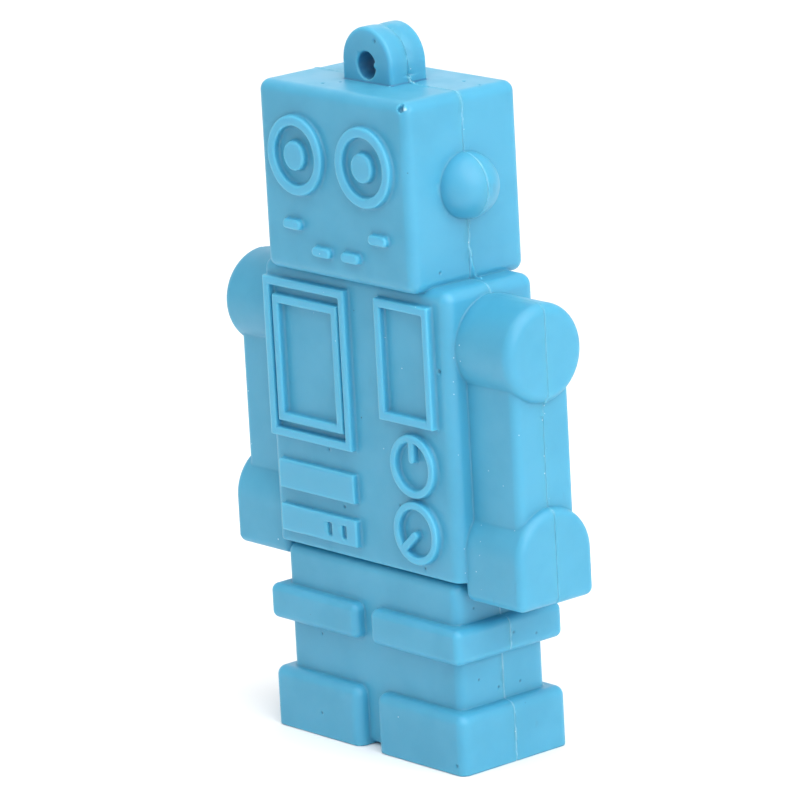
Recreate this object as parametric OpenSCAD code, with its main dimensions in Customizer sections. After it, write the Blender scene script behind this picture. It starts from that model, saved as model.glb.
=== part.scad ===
// Robot-figure USB flash drive: a soft moulded robot whose legs are a pull-off cap over the plug.
// Millimetres. +Z up. The front faces -Y. Origin: middle of the feet's underside.

/* [Head] */
// Width of the head
head_w = 20.2; // [18:0.1:22]
// How far the head sits to one side of the middle
head_x = -0.1; // [-0.3:0.05:0.3]
// Depth of the head, front to back
head_d = 13.3; // [12.3:0.1:14.3]
// Height of the crease under the head
head_z0 = 43.7; // [43:0.1:44.5]
// Height of the top of the head
head_z1 = 61; // [60.5:0.5:62]
// Edge rounding of the head
head_r = 1; // [0.8:0.1:1.4]
// Radius of the round ear on each side
ear_r = 3; // [2.5:0.05:3.5]
// Height of the ears' centre
ear_z = 52.65; // [51.5:0.05:53.5]

/* [Keyring loop] */
// Outer radius of the loop
loop_r = 3.3; // [2.9:0.05:3.5]
// Radius of the loop's hole
loop_hole_r = 1.25; // [1.1:0.05:1.5]
// Thickness of the loop, front to back
loop_t = 4.3; // [3.4:0.1:4.6]
// Height of the centre of the loop's round head
loop_z = 62.7; // [62.5:0.05:63]
// Height of the hole's centre
hole_z = 62.55; // [62.5:0.05:62.8]

/* [Face] */
// Distance of each eye's centre from the middle
eye_x = 4.6; // [4.3:0.05:4.9]
// Height of the eyes' centre
eye_z = 54.7; // [54:0.05:55.5]
// Outer radius of the eye ring
eye_r = 3.65; // [3.2:0.05:3.9]
// Inner radius of the eye ring
eye_hole_r = 2.7; // [2.3:0.05:2.9]
// Radius of the pupil
pupil_r = 1.35; // [1:0.05:1.7]
// Height of the face relief
face_h = 0.7; // [0.4:0.05:0.8]
// Height of the pupils
pupil_h = 0.8; // [0.4:0.05:1]
// Length of each mouth bar
mouth_l = 2.45; // [2:0.05:2.7]
// Thickness of each mouth bar
mouth_t = 0.95; // [0.8:0.05:1.3]

/* [Torso] */
// Width of the torso
torso_w = 25.2; // [24.6:0.1:25.8]
// Depth of the torso, front to back
torso_d = 10.6; // [10.2:0.1:11.4]
// Height of the torso's underside
torso_z0 = 17.55; // [17.45:0.05:17.8]
// Height of the torso's top, a little above the crease under the head
torso_z1 = 44.1; // [43.8:0.05:44.3]
// Rounding of the torso's upright edges
torso_r = 1.1; // [0.8:0.1:1.5]
// Small rounding of the torso's bottom edges
torso_foot_r = 0.25; // [0.2:0.05:0.5]
// Height of the chest relief
relief_h = 0.75; // [0.4:0.05:0.8]
// Width of the raised frame lines
frame_t = 0.8; // [0.5:0.05:0.9]
// Outer radius of the dials
dial_r = 2.9; // [2.5:0.05:2.95]

/* [Arms] */
// Radius of the shoulder drum
shoulder_r = 4.5; // [4.2:0.05:4.8]
// Height of the shoulder drum's axis
shoulder_z = 38.7; // [38:0.1:39.2]
// Distance of the drum's end from the middle
shoulder_x = 19.55; // [19.2:0.05:20]
// Distance of the arm's outer face from the middle
arm_x = 18.7; // [18.2:0.05:19]
// Depth of the arm, front to back
arm_d = 6.7; // [6:0.1:7.2]
// Distance of the hand's outer face from the middle
hand_x = 19.65; // [19.2:0.05:20]
// Depth of the hand, front to back
hand_d = 8.9; // [8.2:0.1:9.4]
// Height of the hand's underside
hand_z0 = 15.85; // [15.5:0.05:16.5]
// Height of the hand's rounded top
hand_z1 = 24.65; // [24.2:0.05:25.2]

/* [Legs cap] */
// Width of the hip and shins
hip_w = 23.3; // [22.6:0.1:23.8]
// Depth of the hip and shins
hip_d = 10.3; // [9.8:0.1:10.6]
// Gap between the torso and the cap
waist_gap = 0.25; // [0.15:0.05:0.3]
// Width over the knee bands and feet
foot_w = 25.9; // [25:0.1:26.4]
// Depth of the knee bands and feet
foot_d = 12.8; // [12:0.1:13.4]
// Height of the feet
foot_z1 = 5.65; // [5.5:0.05:6.6]
// Height of the knee bands' lower edge
band_z0 = 10.2; // [9.8:0.1:10.8]
// Height of the knee bands' upper edge
band_z1 = 13.5; // [13.2:0.05:14.2]
// Width of the slot between the feet
foot_gap = 2.3; // [1.6:0.1:3]
// Width of the slot between the knee bands
band_gap = 1.9; // [1.2:0.1:2.6]
// Height of the pocket's floor inside the cap
pocket_z = 5; // [4:0.1:5.3]
// Clearance between plug and pocket on each side
pocket_gap = 0.1; // [0.05:0.05:0.2]

/* [Plug] */
// Length of plug that stands out of the torso
plug_out = 12; // [11.5:0.1:12.2]
// Thickness of the shell's sheet steel
shell_t = 0.3; // [0.25:0.05:0.35]

/* [Drive] */
// Width of the rigid inner case
case_w = 16.4; // [15.8:0.1:17]
// Depth of the rigid inner case
case_d = 6.4; // [6.2:0.1:6.8]
// Height of the case's upper end
case_z1 = 54; // [53.6:0.1:55]
// Wall thickness of the case
case_t = 0.8; // [0.7:0.05:0.9]

/* [Hidden] */
// Standard sizes of a USB-A plug
plug_w = 12;
plug_d = 4.5;
plug_len = 18.75;
plug_r = 0.55;
// Heights along the drive
plug_z0 = torso_z0 - plug_out;
plug_z1 = plug_z0 + plug_len;
case_z0 = torso_z0 + 0.2;
board_z0 = plug_z1 + 0.25;
board_z1 = 52.6;
board_w = 13.8;
board_t = 1;
glue = 0.1;
// The flash package and the controller package
flash_w = 12;
flash_l = 18.4;
flash_t = 1;
flash_z = 41;
chip_w = 7;
chip_t = 1.2;
chip_z = 38;
// Middle of the mouth
mouth_x = 0.1;
// The dials' centres
dial_x = 7.55;
dial_z_upper = 27.75;
dial_z_lower = 21.6;
// Top of the hip, and two helpers for cuts and overlaps
hip_z1 = torso_z0 - waist_gap;
big = 60;
eps = 0.3;

// ---------- shared shapes ----------

// A box given by its two opposite corners.
module box(a, b) {
  translate(a) cube([b[0] - a[0], b[1] - a[1], b[2] - a[2]]);
}

// A box with every edge rounded, given by its two opposite corners.
module soft_box(a, b, r) {
  hull()
    for (x = [a[0] + r, b[0] - r], y = [a[1] + r, b[1] - r], z = [a[2] + r, b[2] - r])
      translate([x, y, z]) sphere(r = r, $fn = 24);
}

// Keeps the front half (side -1) or the back half (side 1) of a shape.
module half(side) {
  intersection() {
    children();
    translate([-big, side < 0 ? -big : 0, -1]) cube([2 * big, big, 2 * big]);
  }
}

// A box with full rounding r on its upright and top edges and a small chamfer at its foot.
module footed_box(a, b, r, foot) {
  hull()
    for (x = [a[0] + r, b[0] - r], y = [a[1] + r, b[1] - r]) {
      translate([x, y, b[2] - r]) sphere(r = r, $fn = 24);
      translate([x, y, a[2]]) cylinder(r1 = r - foot, r2 = r, h = foot, $fn = 24);
    }
}

// A raised bar with round ends, standing out of a face that looks along -Y.
module relief_bar(x, z, l, t, y, h) {
  translate([x, y + eps, z]) rotate([90, 0, 0]) linear_extrude(height = h + eps) {
    square([l - t, t], center = true);
    for (s = [-1, 1]) translate([s * (l - t) / 2, 0]) circle(d = t, $fn = 32);
  }
}

// A raised rectangular frame line on a face that looks along -Y.
module relief_frame(x0, x1, z0, z1, t, y, h) {
  difference() {
    box([x0, y - h, z0], [x1, y + eps, z1]);
    box([x0 + t, y - h - 1, z0 + t], [x1 - t, y + 1, z1 - t]);
  }
}

// A raised ring on a face that looks along -Y.
module relief_ring(x, z, r, hole, y, h) {
  translate([x, y + eps, z]) rotate([90, 0, 0]) difference() {
    cylinder(r = r, h = h + eps, $fn = 64);
    translate([0, 0, -1]) cylinder(r = hole, h = h + eps + 2, $fn = 64);
  }
}

// ---------- upper figure ----------

module face() {
  y = -head_d / 2;
  for (s = [-1, 1]) {
    relief_ring(head_x + s * eye_x, eye_z, eye_r, eye_hole_r, y, face_h);
    translate([head_x + s * eye_x, y + eps, eye_z]) rotate([90, 0, 0])
      cylinder(r = pupil_r, h = pupil_h + eps, $fn = 48);
    relief_bar(mouth_x + s * 1.97, 46.2, mouth_l, mouth_t, y, face_h - 0.05);
    relief_bar(mouth_x + s * 5.8, 48.3, mouth_l, mouth_t, y, face_h - 0.05);
  }
}

module chest() {
  y = -torso_d / 2;
  // double frame on one side of the chest
  relief_frame(-11.75, -0.55, 27.75, 42.65, frame_t, y, relief_h);
  relief_frame(-10.55, -1.65, 29.25, 41.05, frame_t, y, relief_h);
  // single frame on the other side
  relief_frame(3.5, 10.7, 31.5, 42.65, frame_t, y, relief_h);
  // two dials below it, each with a pointer
  for (z = [dial_z_upper, dial_z_lower])
    relief_ring(dial_x, z, dial_r, dial_r - 0.7, y, relief_h);
  box([dial_x - 0.3, y - relief_h, dial_z_upper + 0.3],
      [dial_x + 0.3, y + eps, dial_z_upper + dial_r - 0.3]);
  translate([dial_x, y - relief_h, dial_z_lower - 0.2]) rotate([0, 48, 0])
    box([-0.3, 0, -dial_r + 0.6], [0.3, relief_h + eps, 0]);
  // two plates below the double frame, the lower one slotted
  plate_h = relief_h - 0.1;
  box([-11.05, y - plate_h, 22.85], [-0.65, y + eps, 25.6]);
  difference() {
    box([-11.1, y - plate_h, 18.8], [-0.6, y + eps, 21.35]);
    for (x = [-4.35, -2.35]) box([x - 0.33, y - plate_h - 1, 19.4], [x + 0.33, y, 20.6]);
  }
}

module loop_solid() {
  translate([head_x, loop_t / 2, 0]) rotate([90, 0, 0]) linear_extrude(height = loop_t) {
    translate([0, loop_z]) circle(r = loop_r, $fn = 72);
    translate([-loop_r, head_z1 - 0.5]) square([2 * loop_r, loop_z - head_z1 + 0.5]);
  }
}

module arm(s) {
  // shoulder drum with a rounded rim
  translate([s * (torso_w / 2 - 1), 0, shoulder_z]) rotate([0, s * 90, 0])
    rotate_extrude($fn = 72) {
      square([shoulder_r, shoulder_x - torso_w / 2]);
      square([shoulder_r - 1, shoulder_x - torso_w / 2 + 1]);
      translate([shoulder_r - 1, shoulder_x - torso_w / 2]) circle(r = 1, $fn = 32);
    }
  mirror([s < 0 ? 1 : 0, 0, 0]) {
    soft_box([torso_w / 2 - 1, -arm_d / 2, hand_z1 - 4], [arm_x, arm_d / 2, shoulder_z], 0.8);
    hand();
  }
}

// Block hand with an arched top.
module hand() {
  r = 0.8;
  x0 = torso_w / 2 + 0.05;
  yc = hand_d / 2 - r;
  hull() {
    for (x = [x0 + 0.4, hand_x - r]) {
      for (y = [-yc, yc]) translate([x, y, hand_z0 + r]) sphere(r = x > x0 + 1 ? r : 0.4, $fn = 20);
      translate([x, 0, hand_z1 - hand_d / 2]) rotate([0, 90, 0]) cylinder(r = yc, h = 0.01, $fn = 40);
    }
    translate([x0, 0, hand_z1 - hand_d / 2]) rotate([0, 90, 0])
      cylinder(r = hand_d / 2, h = hand_x - x0 - r, $fn = 40);
    box([x0, -hand_d / 2, hand_z0 + r], [hand_x - r, hand_d / 2, hand_z0 + 2]);
    translate([x0, 0, hand_z1 - hand_d / 2]) rotate([0, 90, 0])
      cylinder(r = yc, h = hand_x - x0, $fn = 40);
    box([x0, -yc, hand_z0], [hand_x - r, yc, hand_z0 + 2]);
  }
}

module figure_body() {
  difference() {
    union() {
      soft_box([head_x - head_w / 2, -head_d / 2, head_z0],
               [head_x + head_w / 2, head_d / 2, head_z1], head_r);
      footed_box([-torso_w / 2, -torso_d / 2, torso_z0], [torso_w / 2, torso_d / 2, torso_z1],
                 torso_r, torso_foot_r);
      box([-head_w / 2 + 2, -torso_d / 2 + 2, head_z0 - 2], [head_w / 2 - 2, torso_d / 2 - 2, head_z0 + 2]);
      for (s = [-1, 1]) {
        arm(s);
        translate([head_x + s * head_w / 2, 0, ear_z]) sphere(r = ear_r, $fn = 64);
      }
      loop_solid();
    }
    // keyring hole
    translate([head_x, -loop_t, hole_z]) rotate([-90, 0, 0])
      cylinder(r = loop_hole_r, h = 2 * loop_t, $fn = 64);
    // pocket for the inner case, open at the waist
    box([-case_w / 2 - glue, -case_d / 2 - glue, torso_z0 - 1],
        [case_w / 2 + glue, case_d / 2 + glue, case_z1 + glue]);
  }
}

// The body is the same front and back; only the front carries the face and the chest.
module figure_front() {
  color([0.66, 0.80, 0.90]) union() {
    mirror([0, 1, 0]) half(1) figure_body();
    face();
    chest();
  }
}

module figure_back() {
  color([0.66, 0.80, 0.90]) half(1) figure_body();
}

// ---------- legs cap ----------

module legs_body() {
  difference() {
    union() {
      soft_box([-hip_w / 2, -hip_d / 2, 0], [hip_w / 2, hip_d / 2, hip_z1], 0.8);
      box([-foot_w / 4, -foot_d / 2 + 2, 0], [foot_w / 4, foot_d / 2 - 2, 2]);
      for (s = [0, 1]) mirror([s, 0, 0]) {
        footed_box([foot_gap / 2, -foot_d / 2, 0], [foot_w / 2, foot_d / 2, foot_z1], 0.9, 0.12);
        soft_box([band_gap / 2, -foot_d / 2, band_z0], [foot_w / 2, foot_d / 2, band_z1], 0.7);
      }
    }
    // pocket for the plug
    box([-plug_w / 2 - pocket_gap, -plug_d / 2 - pocket_gap, pocket_z],
        [plug_w / 2 + pocket_gap, plug_d / 2 + pocket_gap, hip_z1 + 1]);
  }
}

module legs_front() {
  color([0.66, 0.80, 0.90]) half(-1) legs_body();
}

// The back half is the front half's mirror image.
module legs_back() {
  color([0.66, 0.80, 0.90]) mirror([0, 1, 0]) half(-1) legs_body();
}

// ---------- inner case ----------

module case_body() {
  difference() {
    box([-case_w / 2, -case_d / 2, case_z0], [case_w / 2, case_d / 2, case_z1]);
    box([-case_w / 2 + case_t, -case_d / 2 + case_t, case_z0 + 1],
        [case_w / 2 - case_t, case_d / 2 - case_t, case_z1 - case_t]);
    box([-plug_w / 2 - 0.05, -plug_d / 2 - 0.05, case_z0 - 1],
        [plug_w / 2 + 0.05, plug_d / 2 + 0.05, case_z0 + 2]);
  }
  // ribs that carry the board's edges and stop the plug
  for (s = [-1, 1]) for (z = [28.5, 48]) difference() {
    box([s * 6.9 - 0.6, -case_d / 2 + case_t - 0.1, z], [s * 6.9 + 0.6, case_d / 2 - case_t + 0.1, z + 1]);
    box([s * 6.9 - 1, -board_t / 2 - 0.03, z - 1], [s * 6.9 + 1, board_t / 2 + 0.03, z + 2]);
  }
}

module drive_case_front() {
  color([0.90, 0.90, 0.87]) half(-1) case_body();
}

module drive_case_back() {
  color([0.90, 0.90, 0.87]) half(1) case_body();
}

// ---------- board and its parts ----------

module circuit_board() {
  color([0.05, 0.33, 0.20]) difference() {
    box([-board_w / 2, -board_t / 2, board_z0], [board_w / 2, board_t / 2, board_z1]);
    // notches for the shell's tabs
    for (s = [-1, 1]) box([s * 5.85 - 0.3, -1, board_z0 - 1], [s * 5.85 + 0.3, 1, board_z0 + 2.2]);
    // locating hole in each side edge
    for (s = [-1, 1])
      translate([s * board_w / 2, 1, 29.9]) rotate([90, 0, 0]) cylinder(r = 0.5, h = 2, $fn = 32);
  }
}

module flash_chip() {
  y = -board_t / 2 - 0.1;
  color([0.10, 0.10, 0.11]) difference() {
    box([-flash_w / 2, y - flash_t, flash_z - flash_l / 2], [flash_w / 2, y, flash_z + flash_l / 2]);
    // first-pin dimple
    translate([-flash_w / 2 + 1.2, y - flash_t + 0.15, flash_z + flash_l / 2 - 1.4]) rotate([90, 0, 0])
      cylinder(r = 0.45, h = 1, $fn = 32);
  }
}

// One gull-wing lead that leaves a package along +Z and lands on a board face at y = 0.
module lead(w, lift, run) {
  box([-w / 2, -lift - 0.12, -0.05], [w / 2, -lift, run * 0.4]);
  box([-w / 2, -lift - 0.12, run * 0.4 - 0.12], [w / 2, 0, run * 0.4]);
  box([-w / 2, -0.12, run * 0.4 - 0.12], [w / 2, 0, run]);
}

module flash_chip_leads() {
  color([0.78, 0.78, 0.76])
    for (s = [0, 1], i = [0:23])
      translate([-5.75 + 0.5 * i, -board_t / 2, flash_z]) mirror([0, 0, s])
        translate([0, 0, flash_l / 2]) lead(0.22, 0.55, 0.8);
}

module controller_chip() {
  y = board_t / 2 + 0.1;
  color([0.10, 0.10, 0.11]) difference() {
    box([-chip_w / 2, y, chip_z - chip_w / 2], [chip_w / 2, y + chip_t, chip_z + chip_w / 2]);
    translate([chip_w / 2 - 1, y + chip_t - 0.15, chip_z + chip_w / 2 - 1]) rotate([-90, 0, 0])
      cylinder(r = 0.4, h = 1, $fn = 32);
  }
}

module controller_leads() {
  color([0.78, 0.78, 0.76])
    for (q = [0:3], i = [0:11])
      translate([0, board_t / 2, chip_z]) rotate([0, 90 * q, 0]) mirror([0, 1, 0])
        translate([-2.75 + 0.5 * i, 0, chip_w / 2]) lead(0.22, 0.6, 1);
}

module crystal() {
  color([0.80, 0.80, 0.80]) box([-2.5, board_t / 2, 46], [2.5, board_t / 2 + 1.2, 49.2]);
}

module voltage_regulator() {
  color([0.10, 0.10, 0.11]) {
    box([3.4, board_t / 2 + 0.1, 29], [4.9, board_t / 2 + 1.1, 32]);
    for (p = [[3.4, -1, 29.55], [3.4, -1, 31.45], [4.9, 1, 30.5]])
      box([p[0] - (p[1] < 0 ? 0.6 : 0), board_t / 2, p[2] - 0.2],
          [p[0] + (p[1] > 0 ? 0.6 : 0), board_t / 2 + 0.35, p[2] + 0.2]);
  }
}

// A chip part 1.6 long standing on the board's front (side -1) or back (side 1).
module chip_part(x, z, side, h) {
  translate([x - 0.4, side < 0 ? -board_t / 2 - h : board_t / 2, z - 0.8]) cube([0.8, h, 1.6]);
}

module capacitors() {
  color([0.62, 0.48, 0.34]) {
    for (x = [-4.8, -3.2]) chip_part(x, 30.6, 1, 0.8);
    for (x = [-5, 5]) chip_part(x, 44.6, 1, 0.8);
    for (x = [-5.6, 5.6]) chip_part(x, 34.5, 1, 0.8);
  }
}

module resistors() {
  color([0.13, 0.13, 0.14]) {
    for (x = [-1.6, 0, 1.6]) chip_part(x, 30.6, 1, 0.45);
    for (x = [-5.6, 5.6]) chip_part(x, 40.5, 1, 0.45);
    chip_part(4.6, 47.6, 1, 0.45);
  }
}

module activity_led() {
  color([0.95, 0.93, 0.80]) box([-0.8, board_t / 2, 51], [0.8, board_t / 2 + 0.6, 51.8]);
}

// ---------- plug ----------

module plug_outline(inset) {
  r = plug_r - inset;
  w = plug_w / 2 - inset;
  d = plug_d / 2 - inset;
  square([2 * w, 2 * (d - r)], center = true);
  square([2 * (w - r), 2 * d], center = true);
  for (x = [-1, 1], y = [-1, 1]) translate([x * (w - r), y * (d - r)]) circle(r = r, $fn = 32);
}

module usb_shell() {
  color([0.74, 0.75, 0.77]) difference() {
    union() {
      translate([0, 0, plug_z0]) linear_extrude(height = plug_len) plug_outline(0);
      // rear tabs that stand in the board's notches
      for (s = [-1, 1]) box([s * 5.85 - 0.15, -0.8, plug_z1 - 0.5], [s * 5.85 + 0.15, 0.8, plug_z1 + 2.2]);
    }
    difference() {
      translate([0, 0, plug_z0 - 1]) linear_extrude(height = plug_len + 1.9) plug_outline(shell_t);
      for (s = [-1, 1]) box([s * 5.85 - 0.15, -0.8, plug_z1 - 0.5], [s * 5.85 + 0.15, 0.8, plug_z1 + 2.2]);
    }
    // latch windows, two in each wide wall
    for (x = [-2.25, 2.25])
      box([x - 1.25, -plug_d, plug_z0 + 5.2], [x + 1.25, plug_d, plug_z0 + 7.15]);
  }
}

module usb_tongue() {
  color([0.93, 0.93, 0.91])
    box([-plug_w / 2 + 0.6, 0.15, plug_z0 + 0.6], [plug_w / 2 - 0.6, plug_d / 2 - shell_t, plug_z0 + 11.2]);
}

module usb_rear_block() {
  color([0.93, 0.93, 0.91])
    box([-plug_w / 2 + 0.5, -plug_d / 2 + shell_t + 0.03, plug_z0 + 11.3],
        [plug_w / 2 - 0.5, plug_d / 2 - shell_t - 0.03, plug_z1 - 0.6]);
}

module usb_contacts() {
  color([0.86, 0.70, 0.35])
    for (p = [[-3.5, 7.4], [-1, 6.4], [1, 6.4], [3.5, 7.4]]) {
      // contact blade on the tongue
      box([p[0] - 0.5, 0, plug_z0 + 8.6 - p[1]], [p[0] + 0.5, 0.15, plug_z0 + 11.3]);
      // tail from the rear block to the board's front face
      box([p[0] - 0.4, -board_t / 2 - 0.2, plug_z1 - 0.6], [p[0] + 0.4, -board_t / 2, board_z0 + 2]);
    }
}

module solder_joints() {
  color([0.80, 0.80, 0.79]) {
    for (x = [-3.5, -1, 1, 3.5])
      translate([x, -board_t / 2 - 0.2, board_z0 + 1.3]) rotate([90, 0, 0])
        cylinder(r1 = 0.6, r2 = 0.3, h = 0.35, $fn = 32);
    // rings of solder round the shell's tabs
    difference() {
      for (s = [-1, 1], y = [-1, 1])
        translate([s * 5.85, y * board_t / 2, board_z0 + 1.2]) rotate([y < 0 ? 90 : -90, 0, 0])
          cylinder(r1 = 0.75, r2 = 0.4, h = 0.5, $fn = 32);
      for (s = [-1, 1]) box([s * 5.85 - 0.17, -0.82, board_z0 - 1], [s * 5.85 + 0.17, 0.82, board_z0 + 2.1]);
    }
  }
}

// ---------- one line per node ----------

legs_front();
legs_back();
figure_front();
figure_back();
drive_case_front();
drive_case_back();
circuit_board();
flash_chip();
flash_chip_leads();
controller_chip();
controller_leads();
crystal();
voltage_regulator();
capacitors();
resistors();
activity_led();
usb_shell();
usb_tongue();
usb_rear_block();
usb_contacts();
solder_joints();
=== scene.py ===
"""Studio scene of a robot-figure USB flash drive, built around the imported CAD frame.

The soft silicone pieces are built as distance fields in millimetres, turned into meshes and
given the small faults of a real moulding: a parting line with flash, a step across it, a nicked
corner and pits. The drive inside keeps its CAD shapes and gets bevels and materials.
"""

import math

import bpy
import numpy as np
import openvdb as vdb
from mathutils import Matrix, Vector


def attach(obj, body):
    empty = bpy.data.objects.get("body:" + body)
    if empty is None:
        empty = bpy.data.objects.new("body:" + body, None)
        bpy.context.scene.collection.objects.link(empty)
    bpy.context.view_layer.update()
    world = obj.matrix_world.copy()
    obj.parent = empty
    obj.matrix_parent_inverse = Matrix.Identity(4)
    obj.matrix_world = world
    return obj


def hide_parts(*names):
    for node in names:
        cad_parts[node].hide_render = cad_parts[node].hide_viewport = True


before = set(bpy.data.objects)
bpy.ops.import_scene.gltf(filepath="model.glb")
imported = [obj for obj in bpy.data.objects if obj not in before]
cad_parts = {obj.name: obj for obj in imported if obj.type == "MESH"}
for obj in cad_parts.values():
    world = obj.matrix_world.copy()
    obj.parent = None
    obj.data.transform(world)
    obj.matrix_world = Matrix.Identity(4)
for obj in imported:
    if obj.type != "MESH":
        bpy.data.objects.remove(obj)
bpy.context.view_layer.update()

MM = 0.001
FAR = 9.0  # distance, in mm, given to space that no shape reaches

# ---------------------------------------------------------------- sizes, in mm

HEAD = dict(x=-0.1, w=20.2, d=13.28, z0=43.7, z1=61.0, r=1.0)
TORSO = dict(w=25.2, d=10.6, z0=17.55, z1=44.1, r=1.1, foot_r=0.25)
HIP = dict(w=23.3, d=10.3, z1=17.3, r=0.9)
FOOT = dict(w=25.9, d=12.8, z1=5.65, r=0.9, gap=2.3, foot_r=0.12)
BAND = dict(w=25.9, d=12.8, z0=10.2, z1=13.5, r=0.7, gap=1.9)
SHOULDER = dict(r=4.5, z=38.7, x=19.55, rim=1.0)
ARM = dict(x=18.7, d=6.7, r=0.8)
HAND = dict(x=19.6, d=8.9, z0=15.85, z1=24.65, r=0.8)
EAR = dict(r=3.0, x=10.1, z=52.65)
LOOP = dict(x=-0.1, r=3.3, hole=1.25, hole_z=62.55, t=4.3, z=62.7, r_edge=0.35)
EYE = dict(x=4.6, z=54.7, r=3.65, hole=2.7, pupil=1.35, h=0.7, pupil_h=0.78)
MOUTH = dict(x=0.1, length=2.45, t=0.95, h=0.65, inner=(1.97, 46.2), outer=(5.8, 48.3))
RELIEF = dict(h=0.75, line=0.8, r=0.16, plate_drop=0.1)  # raised shapes on the chest
ROOT = 0.6  # how far behind its face a relief begins
CREASE = 0.25  # how far a relief's foot blends into its face
DIAL = dict(x=7.55, r=2.9, hole=2.2, z_upper=27.75, z_lower=21.6)
FRAMES = (  # least x, most x, least z, most z
    (-11.75, -0.55, 27.75, 42.65),
    (-10.55, -1.65, 29.25, 41.05),
    (3.5, 10.7, 31.5, 42.65),
)
PLATES = ((-11.05, -0.65, 22.85, 25.6), (-11.1, -0.6, 18.8, 21.35))
SLOT = dict(xs=(-4.35, -2.35), half_w=0.33, z0=19.4, z1=20.6)
CASE = dict(w=16.6, d=6.6, z1=54.1)
POCKET = dict(w=12.2, d=4.7, z0=5.0)
SEAM_REACH = 0.9  # how far from the parting line the flash may reach

# The two mould halves do not meet perfectly: the back half sits a little low.
BACK_SHIFT = (0.0, 0.0, -0.05)

# ---------------------------------------------------------------- distance fields


def length2(a, b):
    """The length of a vector with two parts."""
    return np.sqrt(a * a + b * b)


def inset_join(a, b, r):
    """Joins two signed distances at a square corner and rounds the corner by r."""
    outside = length2(np.maximum(a, 0), np.maximum(b, 0))
    return outside + np.minimum(np.maximum(a, b), 0) - r


def block(lo, hi, r):
    """A box between two corners with every edge rounded by r."""
    lo, hi = np.array(lo, float), np.array(hi, float)
    mid, half = (lo + hi) / 2, (hi - lo) / 2 - r

    def distance(x, y, z):
        qx = np.abs(x - mid[0]) - half[0]
        qy = np.abs(y - mid[1]) - half[1]
        qz = np.abs(z - mid[2]) - half[2]
        outside = np.sqrt(np.maximum(qx, 0) ** 2 + np.maximum(qy, 0) ** 2 + np.maximum(qz, 0) ** 2)
        inside = np.minimum(np.maximum(np.maximum(qx, qy), qz), 0)
        return outside + inside - r

    return lo, hi, distance


def ball(centre, r):
    """A ball of radius r."""
    centre = np.array(centre, float)

    def distance(x, y, z):
        return np.sqrt((x - centre[0]) ** 2 + (y - centre[1]) ** 2 + (z - centre[2]) ** 2) - r

    return centre - r, centre + r, distance


def drum_x(x0, x1, y, z, radius, rim):
    """A round drum along X with its rims rounded."""
    mid, half = (x0 + x1) / 2, abs(x1 - x0) / 2 - rim

    def distance(px, py, pz):
        radial = length2(py - y, pz - z) - (radius - rim)
        return inset_join(radial, np.abs(px - mid) - half, rim)

    return (min(x0, x1), y - radius, z - radius), (max(x0, x1), y + radius, z + radius), distance


def disc_y(x, z, y0, y1, radius, rim, hole=0.0):
    """A round disc, or a ring, whose axis runs along Y, with its edges rounded."""
    mid, half = (y0 + y1) / 2, abs(y1 - y0) / 2 - rim

    def distance(px, py, pz):
        radial = length2(px - x, pz - z)
        if hole:
            radial = np.abs(radial - (radius + hole) / 2) - ((radius - hole) / 2 - rim)
        else:
            radial = radial - (radius - rim)
        return inset_join(radial, np.abs(py - mid) - half, rim)

    return (x - radius, min(y0, y1), z - radius), (x + radius, max(y0, y1), z + radius), distance


def arch_plan(a, b, half, b0, b1, r):
    """Distance in a plane to an outline with a flat foot at b0 and a round head at b1, inset by r."""
    radius = half - r
    centre = b1 - half
    side = np.abs(a) - radius
    foot = (b0 + r) - b
    below = length2(np.maximum(side, 0), np.maximum(foot, 0)) + np.minimum(np.maximum(side, foot), 0)
    above = length2(a, b - centre) - radius
    return np.where(b > centre, above, below)


def arch_x(x0, x1, half, z0, z1, r):
    """A block along X whose outline in Y and Z is an arch."""
    mid, half_x = (x0 + x1) / 2, abs(x1 - x0) / 2 - r

    def distance(x, y, z):
        return inset_join(arch_plan(y, z, half, z0, z1, r), np.abs(x - mid) - half_x, r)

    return (min(x0, x1), -half, z0), (max(x0, x1), half, z1), distance


def arch_y(x, y0, y1, half, z0, z1, r):
    """A plate along Y whose outline in X and Z is an arch."""
    mid, half_y = (y0 + y1) / 2, abs(y1 - y0) / 2 - r

    def distance(px, py, pz):
        return inset_join(arch_plan(px - x, pz, half, z0, z1, r), np.abs(py - mid) - half_y, r)

    return (x - half, min(y0, y1), z0), (x + half, max(y0, y1), z1), distance


def frame_y(x0, x1, z0, z1, width, y0, y1, r):
    """A raised rectangular line on a face that looks along Y."""
    cx, cz = (x0 + x1) / 2, (z0 + z1) / 2
    hx, hz = (x1 - x0) / 2, (z1 - z0) / 2
    mid, half_y = (y0 + y1) / 2, abs(y1 - y0) / 2 - r

    def distance(x, y, z):
        ax, az = np.abs(x - cx), np.abs(z - cz)
        outer = np.maximum(ax - hx, az - hz) + r
        inner = np.maximum(ax - hx + width, az - hz + width) - r
        return inset_join(np.maximum(outer, -inner), np.abs(y - mid) - half_y, r)

    return (x0, min(y0, y1), z0), (x1, max(y0, y1), z1), distance


def bar_y(xa, za, xb, zb, width, y0, y1, r):
    """A raised bar with round ends from one point to another on a face that looks along Y."""
    mid, half_y = (y0 + y1) / 2, abs(y1 - y0) / 2 - r
    run = math.hypot(xb - xa, zb - za)
    ux, uz = (xb - xa) / run, (zb - za) / run

    def distance(x, y, z):
        along = np.clip((x - xa) * ux + (z - za) * uz, 0, run)
        plan = length2(x - xa - ux * along, z - za - uz * along) - (width / 2 - r)
        return inset_join(plan, np.abs(y - mid) - half_y, r)

    pad = width / 2
    lo = (min(xa, xb) - pad, min(y0, y1), min(za, zb) - pad)
    hi = (max(xa, xb) + pad, max(y0, y1), max(za, zb) + pad)
    return lo, hi, distance


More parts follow.
